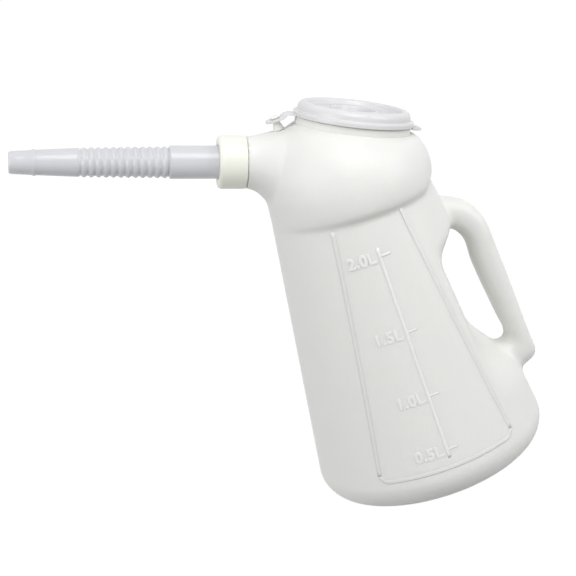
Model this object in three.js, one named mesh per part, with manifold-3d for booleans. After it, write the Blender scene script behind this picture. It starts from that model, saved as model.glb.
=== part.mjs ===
// Oil measuring container of about two litres: a blown jug with a hollow handle, a push-fit lid held by
// a strap, and a corrugated pouring spout that a threaded ring clamps to the jug's neck.
// Millimetres, +Z up. The origin is the centre of the flat base, the handle is toward +X and the spout
// toward -X, so that the plane y = 0 is the plane of symmetry.
import * as THREE from 'three';
import { mergeVertices } from 'three/addons/utils/BufferGeometryUtils.js';
import Module from 'manifold-3d';

const wasm = await Module();
wasm.setup();
const V = (x, y, z) => new THREE.Vector3(x, y, z);

// Clearances
const lidClearance = 0.4; // between the lid and the collar that it is pushed over
const seatGap = 0.3; // between faces that rest on each other
const threadClearance = 0.45; // radial, between the crest of one thread and the root of the other
const boreClearance = 0.5; // between the spout and the hole in the ring

// Jug body
const bodyWall = 1.6;
const bodyRadius = 76.3; // where the tapered side would meet the ground
const bodyTaper = 0.136; // radius lost per millimetre of height
const cornerRadius = 17.4;
const ledgeHeight = 184.4; // where the head sits on the tapered body
const ledgeDrop = 2.6; // how far the ledge dips at the sides, below its height at the spout and the handle
const headOverhang = 3.8; // how far the head bulges over the body on the handle side

// Hollow in the side behind the handle, for the fingers
const gripHollowDepth = 18.5;
const gripHollowBottom = 42;
const gripHollowTop = 153;
const gripHollowSpread = 54; // degrees to either side

// Mouth collar and lid
const mouthX = 17.7;
const mouthHeight = 232;
const mouthTilt = 25; // degrees, leaning toward the handle
const collarRadius = 33.3;
const collarWall = 1.8;
const collarHeight = 3.6;
const bandRadius = 36;
const bandTop = -1.3;
const bandHeight = 4.2;
const lidWall = 1.4;
const lidTop = 8.1;
const lidShoulder = 3.8; // height of the rounded edge of the raised middle
const lidSkirt = 3.2;
const lidFlange = 2.3; // the flange stands out beyond the raised middle
const dishRadius = 14;
const dishDepth = 2.4;
const dishRim = 0.8;
const tabLength = 5.6;
const tabWidth = 13;
const tabDrop = 2.2; // the tab hangs a little below the flange

// Strap and the stud that holds it
const strapWidth = 12.5;
const strapThickness = 1.4;
const studRadius = 2.2;
const studHeadRadius = 3.3;
const studDistance = 7.8; // from the fold line to the stud
const foldDistance = 4.2; // from the lid's rim to the fold line
const foldThickness = 0.5; // the strip is thin where it folds
const foldLength = 1.5;
const foldGap = 0.75; // between the fold line and the strap's own end
const eyeClearance = 0.5;

// Spout neck
const spoutAngle = 20; // degrees above the horizontal
const spoutAxisHeight = 209.5; // where the spout's axis crosses the jug's axis
const neckShoulder = 57.7; // distances along the spout's axis
const neckEnd = 70;
const neckRadius = 12.3;
const neckBoreRadius = 10.3;
const shoulderRadius = 15.9;
const threadPitch = 4;
const threadTurns = 1.5;
const threadHeight = 0.95;
const threadWidth = 1.5;
const threadStart = 60.7;

// Clamping ring
const ringWall = 2.7;
const ringLip = 2.3;

// Flexible spout
const flangeThickness = 1.9;
const spoutRadius = 10.2;
const spoutWall = 1.2;
const plainLength = 34.9;
const foldCount = 12;
const foldPitch = 4.45;
const foldDepth = 1.1;
const foldStartRadius = 9.8;
const foldEndRadius = 9.1;
const taperLength = 27;
const taperStartRadius = 8.8;
const taperEndRadius = 7.7;
const tipLength = 16;
const tipRadius = 6.8;

// Handle
const handleTop = 166;
const handleBottom = 41;
const handleReachTop = 20.2; // how far it stands out from the tapered side
const handleReachBottom = 14.6;
const gripThicknessTop = 18.5;
const gripThicknessBottom = 14.5;
const gripWidth = 24;

const bodyFacets = 36;
const tubeFacets = 24;

// Solids and their joining
function orient(geometry) {
  const p = geometry.attributes.position, ix = geometry.index.array;
  let volume = 0;
  const a = V(), b = V(), c = V();
  for (let i = 0; i < ix.length; i += 3) {
    a.fromBufferAttribute(p, ix[i]);
    b.fromBufferAttribute(p, ix[i + 1]);
    c.fromBufferAttribute(p, ix[i + 2]);
    volume += a.dot(b.cross(c));
  }
  if (volume < 0) for (let i = 0; i < ix.length; i += 3) [ix[i], ix[i + 1]] = [ix[i + 1], ix[i]];
  return geometry;
}

// A closed skin over a row of rings that have the same number of points.
function loft(rings) {
  const n = rings[0].length, points = rings.flat(), index = [];
  for (let i = 0; i + 1 < rings.length; i++) {
    for (let j = 0; j < n; j++) {
      const a = i * n + j, b = i * n + (j + 1) % n;
      index.push(a, b, a + n, b, b + n, a + n);
    }
  }
  const last = (rings.length - 1) * n;
  for (const [start, flip] of [[0, true], [last, false]]) {
    const middle = V();
    for (let j = 0; j < n; j++) middle.addScaledVector(points[start + j], 1 / n);
    points.push(middle);
    for (let j = 0; j < n; j++) {
      const a = start + j, b = start + (j + 1) % n, c = points.length - 1;
      index.push(...(flip ? [b, a, c] : [a, b, c]));
    }
  }
  const geometry = new THREE.BufferGeometry().setFromPoints(points);
  geometry.setIndex(index);
  return orient(geometry);
}

function solid(geometry) {
  const bare = geometry.clone();
  for (const name of ['normal', 'uv']) bare.deleteAttribute(name);
  const merged = orient(mergeVertices(bare, 1e-4));
  return new wasm.Manifold(new wasm.Mesh({
    numProp: 3,
    vertProperties: Float32Array.from(merged.attributes.position.array),
    triVerts: Uint32Array.from(merged.index.array),
  }));
}

function geometryOf(shape) {
  const mesh = shape.getMesh();
  const geometry = new THREE.BufferGeometry();
  const positions = new THREE.BufferAttribute(Float32Array.from(mesh.vertProperties), 3);
  geometry.setAttribute('position', positions);
  geometry.setIndex(Array.from(mesh.triVerts));
  return geometry;
}

// A closed profile of [radius, height] points turned about an axis at `base` that points along `axis`.
function turned(profile, base, axis, facets = tubeFacets) {
  const points = profile.map(([r, h]) => new THREE.Vector2(r, h));
  points.push(points[0].clone());
  const geometry = new THREE.LatheGeometry(points, facets);
  const turn = new THREE.Quaternion().setFromUnitVectors(V(0, 1, 0), axis);
  return geometry.applyQuaternion(turn).translate(base.x, base.y, base.z);
}

const mix = THREE.MathUtils.lerp;
const smooth = (x, a, b) => THREE.MathUtils.smoothstep(x, Math.min(a, b), Math.max(a, b));
const coneRadius = (z) => bodyRadius - bodyTaper * z;

// An oval ring between its handle-side end and its spout-side end, `width` wide to either side.
function oval(right, left, width, facets = bodyFacets) {
  const ring = [];
  for (let j = 0; j < facets; j++) {
    const t = 2 * Math.PI * j / facets;
    const c = 0.5 + 0.5 * Math.cos(t);
    ring.push(V(mix(left.x, right.x, c), width * Math.sin(t), mix(left.z, right.z, c)));
  }
  return ring;
}

function pressGripHollow(ring) {
  return ring.map((p) => {
    const angle = Math.abs(THREE.MathUtils.radToDeg(Math.atan2(p.y, p.x)));
    const across = Math.max(0, 1 - (angle / gripHollowSpread) ** 3) ** 1.3;
    const span = gripHollowTop - gripHollowBottom;
    const along = smooth(p.z, gripHollowBottom, gripHollowBottom + 0.42 * span)
      * (1 - smooth(p.z, gripHollowTop - 0.19 * span, gripHollowTop));
    const radius = Math.hypot(p.x, p.y);
    const k = (radius - gripHollowDepth * across * along) / radius;
    return V(p.x * k, p.y * k, p.z);
  });
}

// The frame of the mouth: `up` is its axis, `out` lies in its plane and points to the handle side.
const tilt = THREE.MathUtils.degToRad(mouthTilt);
const mouthUp = V(Math.sin(tilt), 0, Math.cos(tilt));
const mouthOut = V(Math.cos(tilt), 0, -Math.sin(tilt));
const mouth = V(mouthX, 0, mouthHeight);
const atMouth = (out, up) => mouth.clone().addScaledVector(mouthOut, out).addScaledVector(mouthUp, up);
const mouthRing = (radius, up) => oval(atMouth(radius, up), atMouth(-radius, up), radius);

// Tapered body with a rounded bottom corner
const skin = [];
const sideRadius = coneRadius(cornerRadius);
for (let k = 0; k <= 4; k++) {
  const a = Math.PI / 2 * k / 4;
  const r = sideRadius - cornerRadius * (1 - Math.sin(a));
  const z = cornerRadius * (1 - Math.cos(a));
  skin.push(oval(V(r, 0, z), V(-r, 0, z), r));
}
const hollowSpan = gripHollowTop - gripHollowBottom;
for (const f of [-0.12, 0, 0.1, 0.2, 0.32, 0.5, 0.66, 0.76, 0.84, 0.92, 1, 1.12]) {
  const z = gripHollowBottom + f * hollowSpan;
  skin.push(pressGripHollow(oval(V(coneRadius(z), 0, z), V(-coneRadius(z), 0, z), coneRadius(z))));
}

// Head: it overhangs the body at the ledge and closes up to the foot of the mouth's band
const ledgeRadius = coneRadius(ledgeHeight);
const bandFoot = bandTop - bandHeight;
const headRight = atMouth(bandRadius, bandFoot);
const headLeft = atMouth(-bandRadius, bandFoot);
const ledgeRight = V(ledgeRadius, 0, ledgeHeight), ledgeLeft = V(-ledgeRadius, 0, ledgeHeight);
function headRing(rightX, rightZ, rightBulge, leftX, leftZ, narrow, sideBulge) {
  const right = V(mix(ledgeRight.x, headRight.x, rightX) + headOverhang * rightBulge, 0,
    mix(ledgeRight.z, headRight.z, rightZ));
  const left = V(mix(ledgeLeft.x, headLeft.x, leftX), 0, mix(ledgeLeft.z, headLeft.z, leftZ));
  return oval(right, left, mix(ledgeRadius, bandRadius, narrow) + headOverhang * sideBulge);
}
skin.push(headRing(0, 0, 0, 0, 0, 0, 0));
skin.push(headRing(0, 0.11, 0.72, 0.01, 0.05, 0, 0.8));
skin.push(headRing(0, 0.32, 1, 0.03, 0.18, 0, 1.05));
skin.push(headRing(0.05, 0.55, 1.03, 0.055, 0.35, 0.06, 1.05));
skin.push(headRing(0.3, 0.79, 0.8, 0.15, 0.56, 0.2, 0.8));
skin.push(headRing(0.6, 0.92, 0.5, 0.37, 0.77, 0.42, 0.4));
skin.push(headRing(0.85, 0.985, 0.15, 0.68, 0.93, 0.74, 0.13));

// The ledge runs lower along the sides; the skin above and below follows it less and less
const dipStart = ledgeHeight - 64, dipEnd = ledgeHeight + 27;
for (const ring of skin) {
  for (const p of ring) {
    const c = p.x / Math.hypot(p.x, p.y);
    const near = smooth(p.z, dipStart, ledgeHeight) * (1 - smooth(p.z, ledgeHeight, dipEnd));
    p.z -= ledgeDrop * (1 + c) * (1 - smooth(c, 0.75, 1)) * near;
  }
}

// The same rings moved in by the wall, along the normal of the skin
function moveIn(rings, distance) {
  return rings.map((ring, i) => ring.map((p, j) => {
    const n = ring.length;
    const around = ring[(j + 1) % n].clone().sub(ring[(j + n - 1) % n]);
    const along = rings[Math.min(i + 1, rings.length - 1)][j].clone().sub(rings[Math.max(i - 1, 0)][j]);
    const normal = i === 0 ? V(0, 0, -1) : around.cross(along).normalize();
    return p.clone().addScaledVector(normal, -distance);
  }));
}
const inside = moveIn(skin, bodyWall);
const mouthRadius = collarRadius - collarWall;
inside.push(mouthRing(mouthRadius, bandFoot - bodyWall), mouthRing(mouthRadius, collarHeight + 5));
skin.push(mouthRing(bandRadius, bandFoot), mouthRing(bandRadius, bandTop));
skin.push(mouthRing(collarRadius, bandTop), mouthRing(collarRadius, collarHeight));

// Neck: rings square to the spout's axis, wider below than above where it runs into the head
const lift = THREE.MathUtils.degToRad(spoutAngle);
const spoutAxis = V(-Math.cos(lift), 0, Math.sin(lift));
const spoutTop = V(Math.sin(lift), 0, Math.cos(lift)); // square to the axis, pointing up
const spoutRoot = V(0, 0, spoutAxisHeight);
const atSpout = (along, above = 0) =>
  spoutRoot.clone().addScaledVector(spoutAxis, along).addScaledVector(spoutTop, above);
const neckRing = (back, above, below) => oval(atSpout(neckShoulder - back, above),
  atSpout(neckShoulder - back, -below), (above + below) / 2, tubeFacets);
function neckRings(wall) {
  const s = shoulderRadius - wall;
  return [neckRing(29, s + 6.3, s + 18.6), neckRing(20, s + 4.1, s + 15.1), neckRing(14, s + 2.7, s + 9.2),
    neckRing(10, s + 1.7, s + 5), neckRing(6, s + 0.7, s + 2), neckRing(0, s, s)];
}
const neckOuter = neckRings(0);
neckOuter.push(neckRing(0, neckRadius, neckRadius));
neckOuter.push(neckRing(neckShoulder - neckEnd, neckRadius, neckRadius));
const neckInner = neckRings(bodyWall).slice(0, -1);
neckInner.push(neckRing(0, neckBoreRadius, neckBoreRadius));
neckInner.push(neckRing(neckShoulder - neckEnd - 3, neckBoreRadius, neckBoreRadius));

// A raised helical rib, `from` its root radius `to` its crest, starting at `start` along the spout's axis
function thread(from, to, start, phase) {
  const steps = Math.round(threadTurns * 18), rings = [];
  for (let k = 0; k <= steps; k++) {
    const turn = threadTurns * k / steps, a = phase + 2 * Math.PI * turn;
    const aside = V(0, Math.sin(a), 0).addScaledVector(spoutTop, Math.cos(a));
    const taper = Math.min(1, (k + 0.4) / 2, (steps - k + 0.4) / 2); // the rib runs out at both ends
    const crest = mix(from, to, taper);
    rings.push([[from, -threadWidth / 2], [crest, -threadWidth / 4], [crest, threadWidth / 4],
      [from, threadWidth / 2]].map(([r, h]) =>
      atSpout(start + threadPitch * turn + h).addScaledVector(aside, r)));
  }
  return loft(rings);
}
const sink = 0.5; // how far a rib is rooted in the wall that carries it
const neckThread = thread(neckRadius - sink, neckRadius + threadHeight, threadStart, 0);

// Handle: rings between its outer edge and its grip edge
function handleRings(wall) {
  const span = handleTop - handleBottom;
  const ring = (outerZ, outerOff, innerZ, innerOff, width) => {
    const zo = handleBottom + outerZ * span, zi = handleBottom + innerZ * span;
    const outer = V(coneRadius(zo) + outerOff, 0, zo), inner = V(coneRadius(zi) + innerOff, 0, zi);
    const middle = outer.clone().add(inner).multiplyScalar(0.5);
    const half = outer.clone().sub(inner).multiplyScalar(0.5);
    half.setLength(half.length() - wall);
    const points = [];
    for (let j = 0; j < 16; j++) {
      const a = 2 * Math.PI * j / 16;
      const rounded = (v) => Math.sign(v) * Math.abs(v) ** 0.8;
      const p = middle.clone().addScaledVector(half, rounded(Math.cos(a)));
      points.push(p.add(V(0, (width / 2 - wall) * rounded(Math.sin(a)), 0)));
    }
    return points;
  };
  const reach = (f) => mix(handleReachBottom, handleReachTop, f);
  const grip = (f) => reach(f) - mix(gripThicknessBottom, gripThicknessTop, f);
  const w = gripWidth;
  return [
    ring(1.02, -8, 0.84, -8, w + 2), ring(0.985, reach(1) - 14, 0.835, -3.2, w + 1),
    ring(0.925, reach(1) - 4.7, 0.805, 0.6, w), ring(0.82, reach(1), 0.735, grip(1) + 1.6, w),
    ring(0.64, reach(0.85), 0.62, grip(0.85), w), ring(0.47, reach(0.6), 0.46, grip(0.6), w),
    ring(0.3, reach(0.3), 0.3, grip(0.3) + 0.6, w), ring(0.15, reach(0.05), 0.22, grip(0.05) + 1.4, w),
    ring(0.075, reach(0), 0.175, -1.2, w), ring(0.03, reach(0) - 4.4, 0.17, -6, w + 1),
    ring(-0.01, -4, 0.185, -16, w + 1),
  ];
}

// Stud on the head, under the end of the strap
const rimRadius = collarRadius + lidClearance + lidWall + lidFlange;
const foldLine = atMouth(-rimRadius - foldDistance, bandTop + seatGap);
const strapBottom = foldLine.z - 0.1 - strapThickness;
const studBase = V(foldLine.x - studDistance, 0, strapBottom);
const studTop = strapThickness + seatGap;
const stud = turned([[0, -9], [studRadius, -9], [studRadius, studTop], [studHeadRadius, studTop],
  [studHeadRadius - 0.6, studTop + 1.1], [0, studTop + 1.1]], studBase, V(0, 0, 1), 12);

const jug = solid(loft(skin)).add(solid(loft(neckOuter))).add(solid(loft(handleRings(0))))
  .add(solid(neckThread)).add(solid(stud).subtract(solid(loft(inside))))
  .subtract(solid(loft(inside))).subtract(solid(loft(neckInner))).subtract(solid(loft(handleRings(bodyWall))));

// Lid: a thin cap whose flange sits on the band, with a thumb tab and the root of the strap
const capInner = collarRadius + lidClearance;
const capOuter = capInner + lidWall;
const flangeTop = bandTop + seatGap + lidSkirt;
const skirtInner = rimRadius - lidWall;
const capProfile = [[0, lidTop - dishDepth], [dishRadius - 1.2, lidTop - dishDepth],
  [dishRadius - 0.6, lidTop + dishRim], [dishRadius + 1.2, lidTop + dishRim], [dishRadius + 1.8, lidTop],
  [capOuter - 1.2 * lidShoulder, lidTop], [capOuter - 0.4 * lidShoulder, lidTop - 0.35 * lidShoulder],
  [capOuter, lidTop - lidShoulder], [capOuter, flangeTop], [rimRadius, flangeTop - 0.3],
  [rimRadius, bandTop + seatGap], [skirtInner, bandTop + seatGap], [skirtInner, flangeTop - lidWall],
  [capInner, flangeTop - lidWall], [capInner, lidTop - lidShoulder - 0.4],
  [capInner - 0.35 * lidShoulder, lidTop - 0.35 * lidShoulder - lidWall],
  [capInner - 1.1 * lidShoulder, lidTop - lidWall], [dishRadius + 1.4, lidTop - lidWall],
  [dishRadius + 0.6, lidTop - dishDepth - lidWall], [0, lidTop - dishDepth - lidWall]];
const cap = turned(capProfile, mouth, mouthUp, bodyFacets);

// A flat tongue in the plane of the mouth, from `near` to `far` along its out direction
function tongue(near, far, width, round, bottom, thickness) {
  const shape = new THREE.Shape();
  const s = Math.sign(far - near);
  shape.moveTo(near, -width / 2);
  shape.lineTo(far - s * round, -width / 2);
  if (round) shape.quadraticCurveTo(far, -width / 2, far, -width / 2 + round);
  else shape.lineTo(far, -width / 2);
  shape.lineTo(far, width / 2 - round);
  if (round) shape.quadraticCurveTo(far, width / 2, far - s * round, width / 2);
  shape.lineTo(near, width / 2);
  const geometry = new THREE.ExtrudeGeometry(shape, { depth: thickness, bevelEnabled: false, curveSegments: 3 });
  const frame = new THREE.Matrix4().makeBasis(mouthOut, V(0, 1, 0), mouthUp);
  return geometry.applyMatrix4(frame.setPosition(atMouth(0, bottom)));
}
const lidShape = solid(cap)
  .add(solid(tongue(rimRadius - 1, rimRadius + tabLength, tabWidth, 4,
    bandTop + seatGap - tabDrop, lidWall + tabDrop)))
  .add(solid(tongue(-rimRadius + 1, -rimRadius - foldDistance + foldLength, strapWidth, 0,
    bandTop + seatGap, strapThickness)))
  .add(solid(tongue(-rimRadius - 1, -rimRadius - foldDistance + seatGap / 2, strapWidth, 0,
    bandTop + seatGap, foldThickness)));

// Strap: flat from the fold line to its round end, with a hole for the stud
const eyeRadius = studRadius + eyeClearance;
const strapOutline = new THREE.Shape();
const strapStart = foldLine.x - foldGap;
strapOutline.moveTo(strapStart, -strapWidth / 2);
strapOutline.lineTo(strapStart, strapWidth / 2);
strapOutline.absarc(studBase.x, 0, strapWidth / 2, Math.PI / 2, 1.5 * Math.PI, false);
strapOutline.holes.push(new THREE.Path().absarc(studBase.x, 0, eyeRadius, 0, 2 * Math.PI, true));
const strapGeometry = new THREE.ExtrudeGeometry(strapOutline,
  { depth: strapThickness, bevelEnabled: false, curveSegments: 8 }).translate(0, 0, strapBottom);

// Clamping ring: internal thread, and a lip that holds the spout's flange against the neck
const ringInner = neckRadius + threadHeight + threadClearance;
const ringOuter = ringInner + ringWall;
const flangeStart = neckEnd + seatGap;
const lipStart = flangeStart + flangeThickness + seatGap;
const ringStart = neckShoulder + seatGap;
const ringEnd = lipStart + ringLip;
const lipHole = spoutRadius + boreClearance;
const ringProfile = [[ringInner, ringStart], [ringOuter - 0.6, ringStart], [ringOuter, ringStart + 0.6],
  [ringOuter, ringEnd - 1.2], [ringOuter - 1.2, ringEnd], [lipHole, ringEnd], [lipHole, lipStart],
  [ringInner, lipStart]];
const ringThread = thread(ringInner + sink, ringInner - threadHeight, threadStart + threadPitch / 2, 0);
const ringShape = solid(turned(ringProfile, spoutRoot, spoutAxis)).add(solid(ringThread));

// Flexible spout: flange, plain length, folds, tapered length, step and tip
const outline = [[neckRadius, flangeStart], [neckRadius, flangeStart + flangeThickness],
  [spoutRadius, flangeStart + flangeThickness]];
const plainEnd = flangeStart + plainLength;
outline.push([spoutRadius, plainEnd]);
for (let k = 0; k < foldCount; k++) {
  const crest = mix(foldStartRadius, foldEndRadius, k / (foldCount - 1));
  const start = plainEnd + k * foldPitch;
  outline.push([crest - foldDepth, start + 0.25 * foldPitch], [crest, start + 0.75 * foldPitch]);
}
const foldsEnd = plainEnd + foldCount * foldPitch;
const tipStart = foldsEnd + taperLength;
const tipEnd = tipStart + tipLength;
outline.push([taperStartRadius, foldsEnd + 0.8], [taperEndRadius, tipStart], [taperEndRadius + 0.5, tipStart + 0.5],
  [taperEndRadius + 0.3, tipStart + 1.8], [taperEndRadius - 0.3, tipStart + 2.4], [tipRadius, tipEnd]);
const bore = outline.slice(3, -5).map(([r, h]) => [r - spoutWall, h]);
bore.push([taperEndRadius - spoutWall, tipStart], [tipRadius - spoutWall, tipEnd]);
const spoutProfile = [...outline, ...bore.reverse(), [spoutRadius - spoutWall, flangeStart]];
const spoutGeometry = turned(spoutProfile, spoutRoot, spoutAxis, 20);

const plastic = (color, roughness) => new THREE.MeshStandardMaterial({ color, roughness, metalness: 0 });
const pieces = [
  ['jug_body', geometryOf(jug), plastic('#e4e3dd', 0.5)],
  ['lid', geometryOf(lidShape), plastic('#dedede', 0.4)],
  ['lid_strap', strapGeometry, plastic('#dedede', 0.4)],
  ['clamping_ring', geometryOf(ringShape), plastic('#e8eade', 0.45)],
  ['flexible_spout', spoutGeometry, plastic('#e1e1e6', 0.2)],
];
const container = new THREE.Group();
for (const [name, geometry, material] of pieces) {
  const mesh = new THREE.Mesh(geometry, material);
  mesh.name = name;
  container.add(mesh);
}

export default container;
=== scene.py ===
# Oil measuring container: a blown milky jug with a strapped lid and a corrugated pouring spout.
import bmesh
import bpy
import math
from mathutils import Matrix, Vector


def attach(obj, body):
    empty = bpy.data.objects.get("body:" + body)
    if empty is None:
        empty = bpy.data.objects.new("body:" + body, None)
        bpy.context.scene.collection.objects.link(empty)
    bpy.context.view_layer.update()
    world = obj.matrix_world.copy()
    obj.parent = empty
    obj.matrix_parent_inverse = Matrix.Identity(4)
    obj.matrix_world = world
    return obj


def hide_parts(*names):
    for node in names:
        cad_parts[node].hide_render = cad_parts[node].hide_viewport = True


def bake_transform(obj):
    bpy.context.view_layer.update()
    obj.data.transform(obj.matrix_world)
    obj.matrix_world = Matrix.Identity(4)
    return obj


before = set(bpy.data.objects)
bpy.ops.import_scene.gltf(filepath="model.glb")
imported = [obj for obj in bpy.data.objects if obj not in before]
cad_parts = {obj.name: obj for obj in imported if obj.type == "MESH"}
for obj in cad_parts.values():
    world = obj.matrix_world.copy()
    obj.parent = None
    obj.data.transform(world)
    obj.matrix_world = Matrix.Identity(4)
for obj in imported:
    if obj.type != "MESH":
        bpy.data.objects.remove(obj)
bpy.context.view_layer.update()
scene = bpy.context.scene

# ---- Camera ----
# It stands in front of the jug and looks down on it. The jug leans in the picture, so the camera is
# rolled about its own axis.
azimuth, elevation, roll = (math.radians(angle) for angle in (6.6, 17.39, 18.3))
camera_distance = 1.078  # metres
camera_target = Vector((0, 0, 0.1176))
picture_size, focal_pixels = 576, 1694.0
target_in_picture = (382.1, 296.2)

back = Vector((-math.sin(azimuth) * math.cos(elevation), -math.cos(azimuth) * math.cos(elevation),
               math.sin(elevation)))
level = Vector((math.cos(azimuth), -math.sin(azimuth), 0))
upright = back.cross(level)
across = level * math.cos(roll) - upright * math.sin(roll)
above = level * math.sin(roll) + upright * math.cos(roll)
look = (-back + across * ((picture_size / 2 - target_in_picture[0]) / focal_pixels)
        - above * ((picture_size / 2 - target_in_picture[1]) / focal_pixels))
camera_z = -look.normalized()
camera_x = (across - camera_z * across.dot(camera_z)).normalized()
camera_y = camera_z.cross(camera_x)
camera_data = bpy.data.cameras.new("camera")
camera_data.sensor_width = 36
camera_data.lens = 36 * focal_pixels / picture_size
camera_data.clip_end = 50
camera = bpy.data.objects.new("camera", camera_data)
camera.matrix_world = (Matrix.Translation(camera_target + back * camera_distance)
                       @ Matrix((camera_x, camera_y, camera_z)).transposed().to_4x4())
scene.collection.objects.link(camera)
scene.camera = camera

# ---- Jug: the skin of body and head ----
# The jug is one blown moulding of milky high-density polyethylene, about 1.6 mm thick. The tapered
# body has a rounded foot and a broad hollow behind the handle for the fingers, and a rounded head
# overhangs it at a ledge. Sizes are in millimetres from the middle of the base.
MM = 0.001
wall = 1.6
body_radius, body_taper = 76.3, 0.136  # at the base, and what it loses per millimetre of height
foot_rounding = 17.4
ledge, overhang = 184.4, 3.8
ledge_drop, drop_below, drop_above = 2.6, 64, 27  # the ledge dips toward the handle
grip_depth, grip_spread = 18.5, 54  # the spread is in degrees to either side
grip_foot, grip_deep_from, grip_deep_to, grip_head = 42, 88.6, 131.9, 153
mouth, mouth_tilt = Vector((17.7, 0, 232)), math.radians(25)
mouth_up = Vector((math.sin(mouth_tilt), 0, math.cos(mouth_tilt)))
mouth_out = Vector((math.cos(mouth_tilt), 0, -math.sin(mouth_tilt)))
band_radius, band_top, band_foot = 36, -1.3, -5.5
skin_facets = 128


def linear(code):
    """An sRGB hex colour as the linear values that a shader takes."""
    values = [int(code[i:i + 2], 16) / 255 for i in (1, 3, 5)]
    return tuple(v / 12.92 if v <= 0.04045 else ((v + 0.055) / 1.055) ** 2.4 for v in values) + (1,)


def node(tree, kind, inputs=None, **settings):
    made = tree.nodes.new(kind)
    for name, value in settings.items():
        setattr(made, name, value)
    for name, value in (inputs or {}).items():
        if isinstance(value, bpy.types.NodeSocket):
            tree.links.new(value, made.inputs[name])
        else:
            made.inputs[name].default_value = value
    return made


def plastic(name, pale, dark, drift_mm, grain_mm, grain_depth, rough, **shader):
    """Moulded plastic: a slow drift of tone, a fine skin of the given grain, and uneven gloss."""
    material = bpy.data.materials.new(name)
    material.use_nodes = True
    tree = material.node_tree
    tree.nodes.clear()
    place = node(tree, "ShaderNodeTexCoord").outputs["Object"]
    drift = node(tree, "ShaderNodeTexNoise", {"Vector": place, "Scale": 1 / (drift_mm * MM), "Detail": 4.0})
    tone = node(tree, "ShaderNodeMix", {0: drift.outputs["Fac"]}, data_type="RGBA")
    tone.inputs[6].default_value = linear(dark)
    tone.inputs[7].default_value = linear(pale)
    grain = node(tree, "ShaderNodeTexNoise", {"Vector": place, "Scale": 1 / (grain_mm * MM), "Detail": 3.0})
    gloss = node(tree, "ShaderNodeMapRange",
                 {"Value": drift.outputs["Fac"], "To Min": rough[0], "To Max": rough[1]})
    bump = node(tree, "ShaderNodeBump",
                {"Height": grain.outputs["Fac"], "Strength": 0.25, "Distance": grain_depth})
    surface = node(tree, "ShaderNodeBsdfPrincipled", {
        "Base Color": tone.outputs[2], "Roughness": gloss.outputs[0], "Normal": bump.outputs[0]})
    for socket, value in shader.items():
        surface.inputs[socket.replace("_", " ")].default_value = value
    node(tree, "ShaderNodeOutputMaterial", {"Surface": surface.outputs[0]})
    return material


# Blown polyethylene: milky and satin, with light glowing a few millimetres into the wall. Its real
# grain of about 0.2 mm is drawn 1.1 mm coarse so that it shows.
milky = dict(Subsurface_Weight=0.35, Subsurface_Radius=(1.0, 0.95, 0.85), IOR=1.5)
body_plastic = plastic("milky polyethylene", "#e9e9e5", "#e3e3de", 111.1, 1.111, 0.0004, (0.38, 0.5),
                       Subsurface_Scale=0.006, **milky)


def mix(a, b, t):
    return a + (b - a) * t


def step(x, low, high):
    t = min(1, max(0, (x - low) / (high - low)))
    return t * t * (3 - 2 * t)


def cone(z):
    """The body's radius at a height."""
    return body_radius - body_taper * z


def at_mouth(out, up):
    return mouth + mouth_out * out + mouth_up * up


def oval(right, left, width, facets):
    ring = []
    for j in range(facets):
        t = 2 * math.pi * j / facets
        p = left.lerp(right, 0.5 + 0.5 * math.cos(t))
        ring.append(Vector((p.x, width * math.sin(t), p.z)))
    return ring


def press_grip(ring):
    out = []
    for p in ring:
        angle = abs(math.degrees(math.atan2(p.y, p.x)))
        spread = max(0, 1 - (angle / grip_spread) ** 3) ** 1.3
        height = step(p.z, grip_foot, grip_deep_from) * (1 - step(p.z, grip_deep_to, grip_head))
        radius = math.hypot(p.x, p.y)
        k = (radius - grip_depth * spread * height) / radius
        out.append(Vector((p.x * k, p.y * k, p.z)))
    return out


def spline(rows, steps):
    """Rows of numbers, with `steps` smooth rows from each to the next."""
    out = []
    for i in range(len(rows) - 1):
        before, a = rows[max(i - 1, 0)], rows[i]
        b, after = rows[i + 1], rows[min(i + 2, len(rows) - 1)]
        for k in range(steps):
            t = k / steps
            out.append([0.5 * (2 * a[c] + (b[c] - before[c]) * t
                               + (2 * before[c] - 5 * a[c] + 4 * b[c] - after[c]) * t * t
                               + (3 * a[c] - before[c] - 3 * b[c] + after[c]) * t ** 3)
                        for c in range(len(a))])
    out.append(list(rows[-1]))
    return out


skin = []
for k in range(13):
    a = math.pi / 2 * k / 12
    r, z = cone(foot_rounding) - foot_rounding * (1 - math.sin(a)), foot_rounding * (1 - math.cos(a))
    skin.append(oval(Vector((r, 0, z)), Vector((-r, 0, z)), r, skin_facets))
body_levels = 56
for k in range(1, body_levels):
    z = mix(foot_rounding, ledge, k / body_levels)
    skin.append(press_grip(oval(Vector((cone(z), 0, z)), Vector((-cone(z), 0, z)), cone(z), skin_facets)))

# The head runs from the ledge to the foot of the mouth's band. Each row says how far it has come
# toward the band at its right and left ends and its sides, and how much of the overhang it has.
head_right, head_left = at_mouth(band_radius, band_foot), at_mouth(-band_radius, band_foot)
head = []
for right_x, right_z, right_bulge, left_x, left_z, narrow, side_bulge in (
        (0, 0, 0, 0, 0, 0, 0), (0, 0.11, 0.72, 0.01, 0.05, 0, 0.8), (0, 0.32, 1, 0.03, 0.18, 0, 1.05),
        (0.05, 0.55, 1.03, 0.055, 0.35, 0.06, 1.05), (0.3, 0.79, 0.8, 0.15, 0.56, 0.2, 0.8),
        (0.6, 0.92, 0.5, 0.37, 0.77, 0.42, 0.4), (0.85, 0.985, 0.15, 0.68, 0.93, 0.74, 0.13),
        (1, 1, 0, 1, 1, 1, 0)):
    head.append((mix(cone(ledge), head_right.x, right_x) + overhang * right_bulge,
                 mix(ledge, head_right.z, right_z),
                 mix(-cone(ledge), head_left.x, left_x), mix(ledge, head_left.z, left_z),
                 mix(cone(ledge), band_radius, narrow) + overhang * side_bulge))
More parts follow.
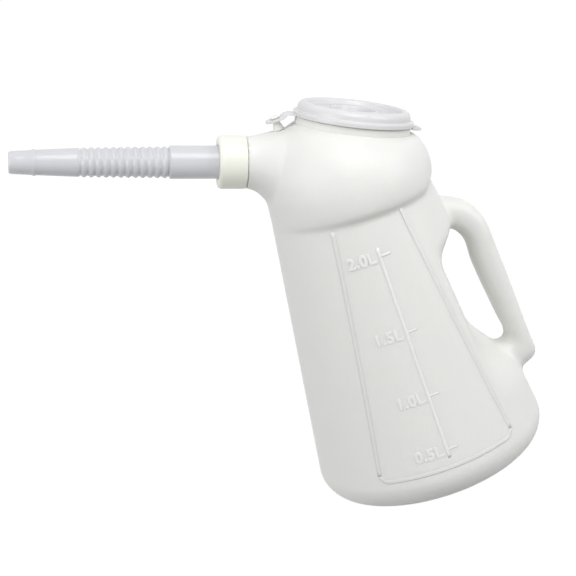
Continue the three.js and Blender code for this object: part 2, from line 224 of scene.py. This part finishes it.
for right_x, right_z, left_x, left_z, width in spline(head, 6):
    skin.append(oval(Vector((right_x, 0, right_z)), Vector((left_x, 0, left_z)), width, skin_facets))
for p in (p for ring in skin for p in ring):
    toward_handle = p.x / math.hypot(p.x, p.y)
    near = step(p.z, ledge - drop_below, ledge) * (1 - step(p.z, ledge, ledge + drop_above))
    p.z -= ledge_drop * (1 + toward_handle) * (1 - step(toward_handle, 0.75, 1)) * near

# ---- Jug: neck and handle ----
# Both are blown in one with the body. The neck flares out of the head at 20 degrees, and the handle
# is a hollow grip whose two roots flow into the body.
spout_lift = math.radians(20)
spout_root = Vector((0, 0, 209.5))
spout_axis = Vector((-math.cos(spout_lift), 0, math.sin(spout_lift)))
spout_top = Vector((math.sin(spout_lift), 0, math.cos(spout_lift)))
neck_shoulder, shoulder_radius = 57.7, 15.9
neck_radius, neck_bore, neck_end = 12.3, 10.3, 70
handle_low, handle_high = 41, 166
reach_low, reach_high = 14.6, 20.2  # how far the grip's outside stands off the body's slope
grip_thick_low, grip_thick_high, grip_wide = 14.5, 18.5, 24


def at_spout(along, above=0):
    return spout_root + spout_axis * along + spout_top * above


def neck_rings(thin):
    s = shoulder_radius - thin
    rows = [(29, s + 6.3, s + 18.6), (20, s + 4.1, s + 15.1), (14, s + 2.7, s + 9.2), (10, s + 1.7, s + 5),
            (6, s + 0.7, s + 2), (0, s, s)]
    return [oval(at_spout(neck_shoulder - behind, above), at_spout(neck_shoulder - behind, -below),
                 (above + below) / 2, 96)
            for behind, above, below in spline(rows, 5)]


def grip_off(share):
    """The outside and inside of the grip, off the body's slope, at a share of its height."""
    outside = mix(reach_low, reach_high, share)
    return outside, outside - mix(grip_thick_low, grip_thick_high, share)


def handle_rings(thin):
    top, low, wide = grip_off(1), grip_off(0), grip_wide
    rows = ((1.02, -8, 0.84, -8, wide + 2), (0.985, top[0] - 14, 0.835, -3.2, wide + 1),
            (0.925, top[0] - 4.7, 0.805, 0.6, wide), (0.82, top[0], 0.735, top[1] + 1.6, wide),
            (0.64, grip_off(0.85)[0], 0.62, grip_off(0.85)[1], wide),
            (0.47, grip_off(0.6)[0], 0.46, grip_off(0.6)[1], wide),
            (0.3, grip_off(0.3)[0], 0.3, grip_off(0.3)[1] + 0.6, wide),
            (0.15, grip_off(0.05)[0], 0.22, grip_off(0.05)[1] + 1.4, wide),
            (0.075, low[0], 0.175, -1.2, wide), (0.03, low[0] - 4.4, 0.17, -6, wide + 1),
            (-0.01, -4, 0.185, -16, wide + 1))
    placed = []
    for outer_z, outer_off, inner_z, inner_off, width in rows:
        outer_z, inner_z = (mix(handle_low, handle_high, share) for share in (outer_z, inner_z))
        placed.append((cone(outer_z) + outer_off, outer_z, cone(inner_z) + inner_off, inner_z, width))
    rings = []
    for outer_x, outer_z, inner_x, inner_z, width in spline(placed, 6):
        inner = Vector((inner_x, 0, inner_z))
        half = (Vector((outer_x, 0, outer_z)) - inner) / 2
        middle, half = inner + half, half.normalized() * (half.length - thin)
        ring = []
        for j in range(40):
            a = 2 * math.pi * j / 40
            c, s = (math.copysign(abs(v) ** 0.8, v) for v in (math.cos(a), math.sin(a)))
            ring.append(middle + half * c + Vector((0, (width / 2 - thin) * s, 0)))
        rings.append(ring)
    return rings


def make(name, points, faces, material):
    """A piece from points in millimetres."""
    mesh = bpy.data.meshes.new(name)
    mesh.from_pydata([Vector(p) * MM for p in points], [], faces)
    mesh.materials.append(material)
    mesh.update()
    made = bpy.data.objects.new(name, mesh)
    scene.collection.objects.link(made)
    return made


def loft(name, rings, material, closed=False):
    """A closed skin over rings of points, capped at both ends or closed on itself."""
    n = len(rings[0])
    faces = []
    for i in range(len(rings) if closed else len(rings) - 1):
        a, b = i * n, (i + 1) % len(rings) * n
        faces += [(a + j, a + (j + 1) % n, b + (j + 1) % n, b + j) for j in range(n)]
    if not closed:
        faces += [tuple(reversed(range(n))), tuple(range((len(rings) - 1) * n, len(rings) * n))]
    piece = make(name, [p for ring in rings for p in ring], faces, material)
    work = bmesh.new()
    work.from_mesh(piece.data)
    bmesh.ops.remove_doubles(work, verts=work.verts, dist=1e-6)
    bmesh.ops.recalc_face_normals(work, faces=work.faces)
    if work.calc_volume(signed=True) < 0:
        bmesh.ops.reverse_faces(work, faces=work.faces)
    work.to_mesh(piece.data)
    work.free()
    return piece


def apply_modifiers(piece):
    graph = bpy.context.evaluated_depsgraph_get()
    mesh = bpy.data.meshes.new_from_object(piece.evaluated_get(graph))
    piece.modifiers.clear()
    piece.data = mesh


def combine(piece, other, operation):
    cut = piece.modifiers.new("cut", "BOOLEAN")
    cut.operation = operation
    cut.object = other
    cut.solver = "MANIFOLD"
    apply_modifiers(piece)
    bpy.data.objects.remove(other)


# Skin, neck and handle are joined, remeshed and relaxed, most of all where the blown shapes flow
# into each other: (middle of the place, how far it reaches)
flows = ((Vector((-36, 0, 222)), 34), (Vector((55, 0, 158)), 20), (Vector((66, 0, 50)), 22))
jug = loft("jug", skin, body_plastic)
combine(jug, loft("neck", neck_rings(0), body_plastic), "UNION")
combine(jug, loft("handle", handle_rings(0), body_plastic), "UNION")
remesh = jug.modifiers.new("remesh", "REMESH")
remesh.mode = "VOXEL"
remesh.voxel_size = 1.4 * MM
apply_modifiers(jug)
flow = jug.vertex_groups.new(name="flow")
for v in jug.data.vertices:
    p = v.co / MM
    along = (p - spout_root).dot(spout_axis)
    nearest = min((p - place).length / size for place, size in flows)
    weight = max(0, 1 - nearest) if along < neck_shoulder - 2.7 else 0
    if p.z > 2 and along < neck_shoulder - 1.7:
        flow.add([v.index], max(0.08, min(1, 1.6 * weight)), "REPLACE")
relax = jug.modifiers.new("relax", "SMOOTH")
relax.vertex_group = "flow"
relax.factor = 0.5
relax.iterations = 36
apply_modifiers(jug)

# ---- Jug: mouth, thread and stud ----
# The crisp parts of the same moulding, formed between the two halves of the mould: a stiff band and
# a collar for the lid, the neck's tube with its thread, and a headed stud that holds the strap.
collar_radius, collar_wall, collar_height = 33.3, 1.8, 3.6
lid_clearance, lid_wall, lid_flange = 0.4, 1.4, 2.3
rim = collar_radius + lid_clearance + lid_wall + lid_flange
seat = band_top + 0.3  # the lid's flange rests just above the band
fold = at_mouth(-rim - 4.2, seat)
strap_thick = 1.4
strap_low = fold.z - 0.1 - strap_thick
stud_base = Vector((fold.x - 7.8, 0, strap_low))
thread_height, thread_pitch, thread_turns, thread_wide = 0.95, 4.0, 1.5, 1.5


def lathe(name, profile, base, axis, material, facets=96):
    """A closed profile of (radius, height), turned about an axis."""
    turn = Vector((0, 0, 1)).rotation_difference(axis)
    rings = []
    for radius, height in profile:
        rings.append([base + turn @ Vector((radius * math.cos(a), radius * math.sin(a), height))
                      for a in (2 * math.pi * j / facets for j in range(facets))])
    return loft(name, rings, material, closed=True)


def rounded(profile, radius, steps=4):
    """The closed profile with each corner cut by a small arc."""
    out = []
    for i, corner in enumerate(profile):
        c = Vector(corner)
        before, after = Vector(profile[i - 1]) - c, Vector(profile[(i + 1) % len(profile)]) - c
        reach = min(radius, 0.42 * before.length, 0.42 * after.length)
        a, b = c + before.normalized() * reach, c + after.normalized() * reach
        for k in range(steps + 1):
            t = k / steps
            out.append(tuple(a * (1 - t) ** 2 + c * 2 * t * (1 - t) + b * t ** 2))
    return out


def thread(name, root, crest, start, material):
    """A thread about the spout's axis, from the radius `root` to `crest`, running out at its ends."""
    rings, steps = [], round(thread_turns * 48)
    for k in range(steps + 1):
        turn = thread_turns * k / steps
        a = 2 * math.pi * turn
        aside = Vector((0, math.sin(a), 0)) + spout_top * math.cos(a)
        high = mix(root, crest, min(1, (k + 0.4) / 6, (steps - k + 0.4) / 6))
        rings.append([at_spout(start + thread_pitch * turn + share * thread_wide) + aside * r
                      for r, share in ((root, -1 / 2), (high - 0.15, -1 / 3.2), (high, -1 / 6),
                                       (high, 1 / 6), (high - 0.15, 1 / 3.2), (root, 1 / 2))])
    return loft(name, rings, material)


for bit in (
        lathe("collar", rounded([(1, -9), (band_radius - 0.8, -9), (band_radius, band_foot),
                                 (band_radius, band_top), (collar_radius, band_top),
                                 (collar_radius, collar_height), (1, collar_height)], 0.5),
              mouth, mouth_up, body_plastic, 128),
        lathe("neck_tube", rounded([(0.5, 40), (neck_radius, 40), (neck_radius, neck_end), (0.5, neck_end)],
                                   0.5), spout_root, spout_axis, body_plastic),
        thread("neck_thread", neck_radius - 0.5, neck_radius + thread_height, 60.7, body_plastic),
        lathe("stud", rounded([(0.3, -6), (3.6, -6), (2.2, -1.2), (2.2, 1.7), (3.3, 1.9), (3.1, 2.6),
                               (2.2, 2.9), (0.3, 2.9)], 0.3), stud_base, Vector((0, 0, 1)), body_plastic,
              32)):
    combine(jug, bit, "UNION")

# ---- Jug: the hollow ----
# The inside follows the skin one wall further in. It opens at the mouth, and the bores of neck and
# handle open into it, as in any blown jug.


def move_in(rings, distance):
    out = []
    for i, ring in enumerate(rings):
        moved = []
        for j, p in enumerate(ring):
            around = ring[(j + 1) % len(ring)] - ring[j - 1]
            along = rings[min(i + 1, len(rings) - 1)][j] - rings[max(i - 1, 0)][j]
            normal = Vector((0, 0, -1)) if i == 0 else around.cross(along).normalized()
            moved.append(p - normal * distance)
        out.append(moved)
    return out


def mouth_ring(radius, height):
    return [at_mouth(radius * math.cos(a), height) + Vector((0, radius * math.sin(a), 0))
            for a in (2 * math.pi * j / skin_facets for j in range(skin_facets))]


def finish_shading(piece, degrees=32):
    piece.data.shade_smooth()
    piece.data.set_sharp_from_angle(angle=math.radians(degrees))


mouth_bore = collar_radius - collar_wall
inside = move_in(skin, wall)[:-1] + [mouth_ring(mouth_bore, band_foot - wall), mouth_ring(mouth_bore, 9)]
combine(jug, loft("inside", inside, body_plastic), "DIFFERENCE")
bore = neck_rings(wall)[:-1] + [oval(at_spout(along, neck_bore), at_spout(along, -neck_bore), neck_bore, 96)
                                for along in (neck_shoulder, neck_end + 5)]
combine(jug, loft("bore", bore, body_plastic), "DIFFERENCE")
combine(jug, loft("handle_bore", handle_rings(wall), body_plastic), "DIFFERENCE")
finish_shading(jug, 38)
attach(jug, "jug")
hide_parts("jug_body")

# ---- Measuring scale ----
# A raised line with a tick at each half litre, cut into the mould on the side that faces the
# camera. It is the body's own polyethylene, blown a little thicker there, and its colour is painted
# paler than the wall: a painted highlight for the light that the raised marks catch.
marks = (("0.5L", 34.0), ("1.0L", 68.8), ("1.5L", 109.9), ("2.0L", 158.6))
line_foot, line_head = 29, 164
line_wide, line_high = 2.2, 0.26
tick_long, tick_wide, tick_high = 7, 1.4, 0.2

# Painted paler than the wall around it: a painted highlight for the light that the raised marks catch
scale_plastic_painted_highlight = plastic("milky polyethylene with painted highlight", "#f8f8f5", "#f2f2ee", 111.1, 1.111, 0.0004, (0.3, 0.4),
                        Subsurface_Scale=0.004, **milky)


def on_side(u, z, proud):
    """A point of the tapered side, `u` along the girth from the middle of the scale."""
    r = cone(z) + proud
    a = -math.pi / 2 + u / cone(z)
    return Vector((r * math.cos(a), r * math.sin(a), z))


def rib(name, path, width, height, material):
    rings = []
    for i, (u, z) in enumerate(path):
        (u0, z0), (u1, z1) = path[max(i - 1, 0)], path[min(i + 1, len(path) - 1)]
        length = math.hypot(u1 - u0, z1 - z0)
        du, dz = (z1 - z0) / length, -(u1 - u0) / length
        high = height * min(1, (min(i, len(path) - 1 - i) + 0.3) / 1.5)
        rings.append([on_side(u + du * w * width / 2, z + dz * w * width / 2, h) for w, h in (
            (-1, -0.5), (-1, -0.02), (-0.55, high * 0.6), (0, high), (0.55, high * 0.6), (1, -0.02), (1, -0.5))])
    made = loft(name, rings, material)
    made.data.shade_smooth()
    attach(made, "jug")


def line(a, b, count):
    return [(mix(a[0], b[0], k / count), mix(a[1], b[1], k / count)) for k in range(count + 1)]


rib("scale_line", line((0, line_foot), (0, line_head), 60), line_wide, line_high, scale_plastic_painted_highlight)
for label, z in marks:
    rib("tick_" + label.replace(".", "_"), line((0.4, z), (tick_long, z), 8), tick_wide, tick_high,
        scale_plastic_painted_highlight)

# ---- Panel lines ----
# A wide, barely raised line frames the scale on both sides and below. It is moulded in one with the
# wall and fades into the ledge at its top.
panel_head, panel_foot, panel_corner = 180.5, 23.0, 4
panel_spread_head, panel_spread_foot = 25, 37  # degrees to either side of the scale
panel_wide, panel_high = 2.6, 0.07

# Only just thicker than the wall, and painted only just paler: a faint painted highlight along the lines
panel_plastic_painted_highlight = plastic("milky polyethylene with faint painted highlight", "#eeeeea", "#e8e8e3", 111.1, 1.111, 0.0004,
                        (0.38, 0.5), Subsurface_Scale=0.004, **milky)


def panel_edge(z):
    share = (panel_head - z) / (panel_head - panel_foot)
    return math.radians(mix(panel_spread_head, panel_spread_foot, share)) * cone(z)


side_foot = panel_foot + panel_corner
for side_name, side in (("left", -1), ("right", 1)):
    rib("panel_" + side_name, [(side * panel_edge(z), z) for z in (
        mix(side_foot, panel_head, k / 60) for k in range(61))], panel_wide, panel_high, panel_plastic_painted_highlight)
rib("panel_bottom", [(t * panel_edge(side_foot),
                      panel_foot + panel_corner * max(0, (abs(t) - 0.9) / 0.1) ** 2)
                     for t in (k / 30 - 1 for k in range(61))], panel_wide, panel_high, panel_plastic_painted_highlight)

# ---- Numerals ----
# The volume at each tick, in plain raised figures cut into the same mould as the scale. They
# follow the round side and end a few millimetres short of the scale's line.
numeral_size, numeral_rise, numeral_edge, numeral_swell = 9.5, 0.22, 0.1, 0.28
numeral_gap = 3.0  # from the scale's line
for label, z in marks:
    curve = bpy.data.curves.new("numerals", "FONT")
    curve.body = label
    curve.size = numeral_size * MM
    curve.extrude = numeral_rise * MM
    curve.bevel_depth = numeral_edge * MM
    curve.offset = numeral_swell * MM
    curve.space_character = 1.08
    curve.align_x, curve.align_y = "RIGHT", "CENTER"
    text = bpy.data.objects.new("text", curve)
    scene.collection.objects.link(text)
    bpy.context.view_layer.update()
    wrapped = bpy.data.meshes.new_from_object(text.evaluated_get(bpy.context.evaluated_depsgraph_get()))
    bpy.data.objects.remove(text)
    for v in wrapped.vertices:
        u, up, proud = v.co / MM
        v.co = on_side(u - numeral_gap, z + up, proud - 0.02) * MM
    # The figures take the scale's colour, painted paler than the wall as a painted highlight
    wrapped.materials.clear()
    wrapped.materials.append(scale_plastic_painted_highlight)
    numerals = bpy.data.objects.new("numerals_" + label.replace(".", "_"), wrapped)
    scene.collection.objects.link(numerals)
    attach(numerals, "jug")

# ---- Lid ----
# A thin injection-moulded cap of soft clear polyethylene, pushed over the collar. Its flange rests
# on the band, the raised middle is pressed down inside a rounded edge and holds a small dish, and a
# thumb tab hangs a little below the flange on the handle side.
cap_in = collar_radius + lid_clearance
cap_out = cap_in + lid_wall
lid_top = 8.1
flange_top = seat + 3.2
tab_long, tab_wide, tab_foot, tab_top = 5.6, 13, -3.2, 0.3

# Soft clear polyethylene: a cloudy, slightly see-through skin with a broad sheen. Its grain is
# drawn 0.8 mm coarse, because the real one is too fine to show.
lid_plastic = plastic("soft clear polyethylene", "#e4e4e5", "#dadadc", 45.45, 0.833, 0.0002, (0.2, 0.3),
                      Alpha=0.86, IOR=1.5)


def tab_outline(near, far, width, radius):
    """A tongue with two round corners at its far end."""
    points = [(near, -width / 2)]
    for start, y in ((-math.pi / 2, -width / 2 + radius), (0, width / 2 - radius)):
        for k in range(9):
            a = start + math.pi / 2 * k / 8
            points.append((far - radius + radius * math.cos(a), y + radius * math.sin(a)))
    return points + [(near, width / 2)]


def slab(name, outline, low, high, material, soften=0.35):
    """An outline in the plane of the mouth, `low` to `high` above it, with soft edges."""
    middle = sum((Vector(p) for p in outline), Vector((0, 0))) / len(outline)
    rings = []
    for inset, h in ((soften, low), (0, low + soften), (0, high - soften), (soften, high)):
        ring = []
        for p in outline:
            q = Vector(p) + (middle - Vector(p)).normalized() * inset
            ring.append(at_mouth(q.x, h) + Vector((0, q.y, 0)))
        rings.append(ring)
    return loft(name, rings, material)


lid_outside = [(0, -5.6), (8, -5.6), (11.8, -5.5), (12.9, -2.0), (14.6, -2.0), (15.4, -3.2), (17, -3.3),
               (26.4, -3.3), (27.8, -3.0), (29.4, -0.5), (30.6, 0), (cap_out - 2.6, -0.2),
               (cap_out - 1.1, -1.2), (cap_out - 0.3, -2.5), (cap_out, -3.8)]
lid_inside = [(cap_in, -3.6), (cap_in - 1.0, -2.2), (cap_in - 2.8, -1.5), (29.4, -3.4), (28.2, -4.7),
              (14.8, -4.7), (14, -7), (0, -7)]
flange = [(cap_out, flange_top), (rim, flange_top - 0.2), (rim, seat), (rim - lid_wall, seat),
          (rim - lid_wall, flange_top - lid_wall), (cap_in, flange_top - lid_wall)]
cap = lathe("lid_moulding", rounded([(r, lid_top + h) for r, h in lid_outside] + flange
                                    + [(r, lid_top + h) for r, h in lid_inside], 0.7),
            mouth, mouth_up, lid_plastic, 128)
tab = slab("tab", tab_outline(rim - 1, rim + tab_long, tab_wide, 4), tab_foot, tab_top, lid_plastic)
for v in tab.data.vertices:
    p = v.co / MM - mouth
    out = min(1, max(0, (p.dot(mouth_out) - rim + 0.6) / 5))
    v.co -= mouth_up * (p.dot(mouth_up) - tab_foot) * 0.5 * out * MM
combine(cap, tab, "UNION")
finish_shading(cap)
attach(cap, "lid")
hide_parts("lid")

# ---- Strap ----
# The lid's moulding goes on as a flat strip of the same soft plastic, with a thin fold where it
# bends and an eye in its round end that is pressed over the stud.
strap_half, eye_radius = 6.25, 2.7
fold_thin, fold_long = 0.85, 0.9
strap_root = at_mouth(-rim + 0.8, 0)
strap_sections = []
for k in range(57):
    x = (mix(strap_root.x, stud_base.x, k / 36) if k < 36
         else stud_base.x - strap_half * math.sin(math.pi / 2 * (k - 36) / 20))
    side = math.sqrt(max(0.16, strap_half ** 2 - max(0, stud_base.x - x) ** 2))
    low = fold.z + min(0, (fold.x - x) * math.tan(mouth_tilt))
    low = mix(low, strap_low, step(-x, -(fold.x + 0.6), -(fold.x - 4)))
    thick = strap_thick - fold_thin * math.exp(-((x - fold.x) / fold_long) ** 2)
    strap_sections.append([Vector((x, y, low + h)) for y, h in (
        (0.25 - side, 0), (-side, 0.25), (-side, thick - 0.25), (0.25 - side, thick),
        (side - 0.25, thick), (side, thick - 0.25), (side, 0.25), (side - 0.25, 0))])
strap = loft("lid_strap_strip", strap_sections, lid_plastic)
combine(strap, lathe("eye_hole", [(0.1, -3), (eye_radius, -3), (eye_radius, 4), (0.1, 4)],
                     Vector((stud_base.x, 0, strap_low)), Vector((0, 0, 1)), lid_plastic, 48), "DIFFERENCE")
finish_shading(strap)
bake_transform(strap)
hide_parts("lid_strap")

# ---- Clamping ring ----
# An injection-moulded ring of ivory polypropylene with a fine ribbed grip. Its thread runs on the
# neck's, and its lip holds the spout's flange against the end of the neck.
ring_inner = neck_radius + thread_height + 0.45
ring_outer = ring_inner + 2.7
ring_low, ring_lip, ring_high = 57.8, 72.5, 74.8
lip_radius = 10.7
rib_count, rib_depth = 60, 0.13

# Polypropylene: a warm ivory, satin and nearly opaque. Its grain is drawn 0.7 mm coarse.
ring_plastic = plastic("ivory polypropylene", "#ebece3", "#e3e5da", 25, 0.667, 0.0003, (0.32, 0.42),
                       Subsurface_Weight=0.2, Subsurface_Radius=(1.0, 1.0, 0.7), Subsurface_Scale=0.003,
                       IOR=1.5)

ring = lathe("ring", rounded([(ring_inner, ring_low), (ring_outer - 0.1, ring_low),
                              (ring_outer, ring_low + 1.2), (ring_outer, ring_high - 1.6),
                              (ring_outer - 0.9, ring_high), (lip_radius, ring_high),
                              (lip_radius, ring_lip), (ring_inner, ring_lip)], 0.7),
             spout_root, spout_axis, ring_plastic, 4 * rib_count)
for v in ring.data.vertices:
    p = v.co / MM - spout_root
    along = p.dot(spout_axis)
    aside = p - spout_axis * along
    if aside.length > ring_outer - 0.3 and ring_low + 2.2 < along < ring_high - 2.4:
        angle = math.atan2(aside.y, aside.dot(spout_top))
        v.co -= aside.normalized() * rib_depth * (0.5 + 0.5 * math.cos(rib_count * angle)) * MM
combine(ring, thread("ring_thread", ring_inner + 0.5, ring_inner - thread_height, 62.7, ring_plastic), "UNION")
finish_shading(ring)
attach(ring, "ring")
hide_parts("clamping_ring")

# ---- Flexible spout ----
# One dipped or blown moulding of clear soft vinyl: a flange that the ring clamps, a plain length,
# twelve folds that let it bend, and a tapered end with a raised bead before its tip.
flange_start, flange_thick = 70.3, 1.9
plain_end = flange_start + 34.9
fold_count, fold_pitch, fold_depth = 12, 4.45, 1.1
crest_first, crest_last = 9.8, 9.1
folds_end = plain_end + fold_count * fold_pitch
tip_start = folds_end + 27
tip_end = tip_start + 16
plain_radius, spout_wall = 10.2, 1.2
rounds_per_fold = 10

# Clear vinyl: glassy and faintly blue, see-through in thin places, with sharp highlights along its
# length. The slight waviness of its skin is drawn 1.4 mm coarse.
spout_plastic = plastic("clear soft vinyl", "#dedfe3", "#d4d5da", 33.3, 1.429, 0.0002, (0.08, 0.18),
                        Alpha=0.8, IOR=1.5)

outline = [(neck_radius, flange_start), (neck_radius, flange_start + flange_thick),
           (plain_radius + 0.4, flange_start + flange_thick), (plain_radius, flange_start + 2.6)]
outline += [(plain_radius, mix(flange_start + 2.6, plain_end - 1, k / 6)) for k in range(1, 7)]
for k in range(fold_count * rounds_per_fold + 1):
    share = k / (fold_count * rounds_per_fold)
    wave = 0.5 - 0.5 * math.cos(2 * math.pi * fold_count * share)
    outline.append((mix(crest_first, crest_last, share) - fold_depth * (1 - wave ** 0.8),
                    mix(plain_end, folds_end, share)))
outline.append((8.75, folds_end + 1.2))
outline += [(mix(8.7, 7.7, k / 6), mix(folds_end + 3, tip_start - 0.6, k / 6)) for k in range(7)]
outline += [(8.05, tip_start + 0.2), (8.1, tip_start + 0.9), (7.9, tip_start + 1.8), (7.55, tip_start + 2.6),
            (7.2, tip_start + 9), (6.9, tip_end - 1.2), (6.5, tip_end - 0.3), (6.1, tip_end)]
hollow = [(r - spout_wall, h) for r, h in outline[3:-8]]
hollow += [(6.4, tip_start + 2.6), (6.0, tip_start + 9), (5.5, tip_end)]
spout = lathe("spout", outline + hollow[::-1] + [(plain_radius - spout_wall, flange_start)],
              spout_root, spout_axis, spout_plastic, 96)
finish_shading(spout, 50)
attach(spout, "spout")
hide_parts("flexible_spout")

# ---- Studio ----
# A pale matt floor that keeps the jug's faint shadow, three soft lamps and an even white room. Floor
# and room show white to the camera and in reflections, and light the jug at a plain level.
floor_half = 6000
floor_level = -0.3
lamps = (("key", (0.35, -0.8, 1.35), (0, 0, 0.15), 0.9, 9), ("side", (1.1, -0.6, 0.6), (0, 0, 0.12), 0.7, 5.4),
         ("fill", (-1.2, -0.7, 0.8), (0, 0, 0.15), 1.0, 7.4))


def seen_or_reflected(tree):
    """1 for rays that the eye sees, directly or by way of gloss or glass."""
    path = node(tree, "ShaderNodeLightPath")
    seen = node(tree, "ShaderNodeMath", {0: path.outputs["Is Camera Ray"], 1: path.outputs["Is Glossy Ray"]},
                operation="MAXIMUM")
    return node(tree, "ShaderNodeMath", {0: seen.outputs[0], 1: path.outputs["Is Transmission Ray"]},
                operation="MAXIMUM").outputs[0]


floor_paint = bpy.data.materials.new("studio white")
floor_paint.use_nodes = True
tree = floor_paint.node_tree
tree.nodes.clear()
share = node(tree, "ShaderNodeMath", {0: seen_or_reflected(tree), 1: 0.9}, operation="MULTIPLY")
matt = node(tree, "ShaderNodeBsdfDiffuse", {"Color": (0.4, 0.4, 0.4, 1)})
white = node(tree, "ShaderNodeEmission", {"Color": (1, 1, 1, 1), "Strength": 1.1})
both = node(tree, "ShaderNodeMixShader", {0: share.outputs[0], 1: matt.outputs[0], 2: white.outputs[0]})
node(tree, "ShaderNodeOutputMaterial", {"Surface": both.outputs[0]})
corners = [(x * floor_half, y * floor_half, floor_level) for x, y in ((-1, -1), (1, -1), (1, 1), (-1, 1))]
floor = make("floor", corners, [(0, 1, 2, 3)], floor_paint)

for name, place, aim, size, power in lamps:
    lamp_data = bpy.data.lights.new(name, "AREA")
    lamp_data.shape = "DISK"
    lamp_data.size = size
    lamp_data.energy = power
    lamp = bpy.data.objects.new(name, lamp_data)
    lamp.location = place
    lamp.rotation_euler = (Vector(aim) - Vector(place)).to_track_quat("-Z", "Y").to_euler()
    scene.collection.objects.link(lamp)

room = bpy.data.worlds.new("studio")
scene.world = room
room.use_nodes = True
tree = room.node_tree
tree.nodes.clear()
soft = node(tree, "ShaderNodeBackground", {"Color": (1, 1, 1, 1), "Strength": 0.58})
white = node(tree, "ShaderNodeBackground", {"Color": (1, 1, 1, 1), "Strength": 1.0})
both = node(tree, "ShaderNodeMixShader", {0: seen_or_reflected(tree), 1: soft.outputs[0], 2: white.outputs[0]})
node(tree, "ShaderNodeOutputWorld", {"Surface": both.outputs[0]})
scene.view_settings.view_transform = "Standard"
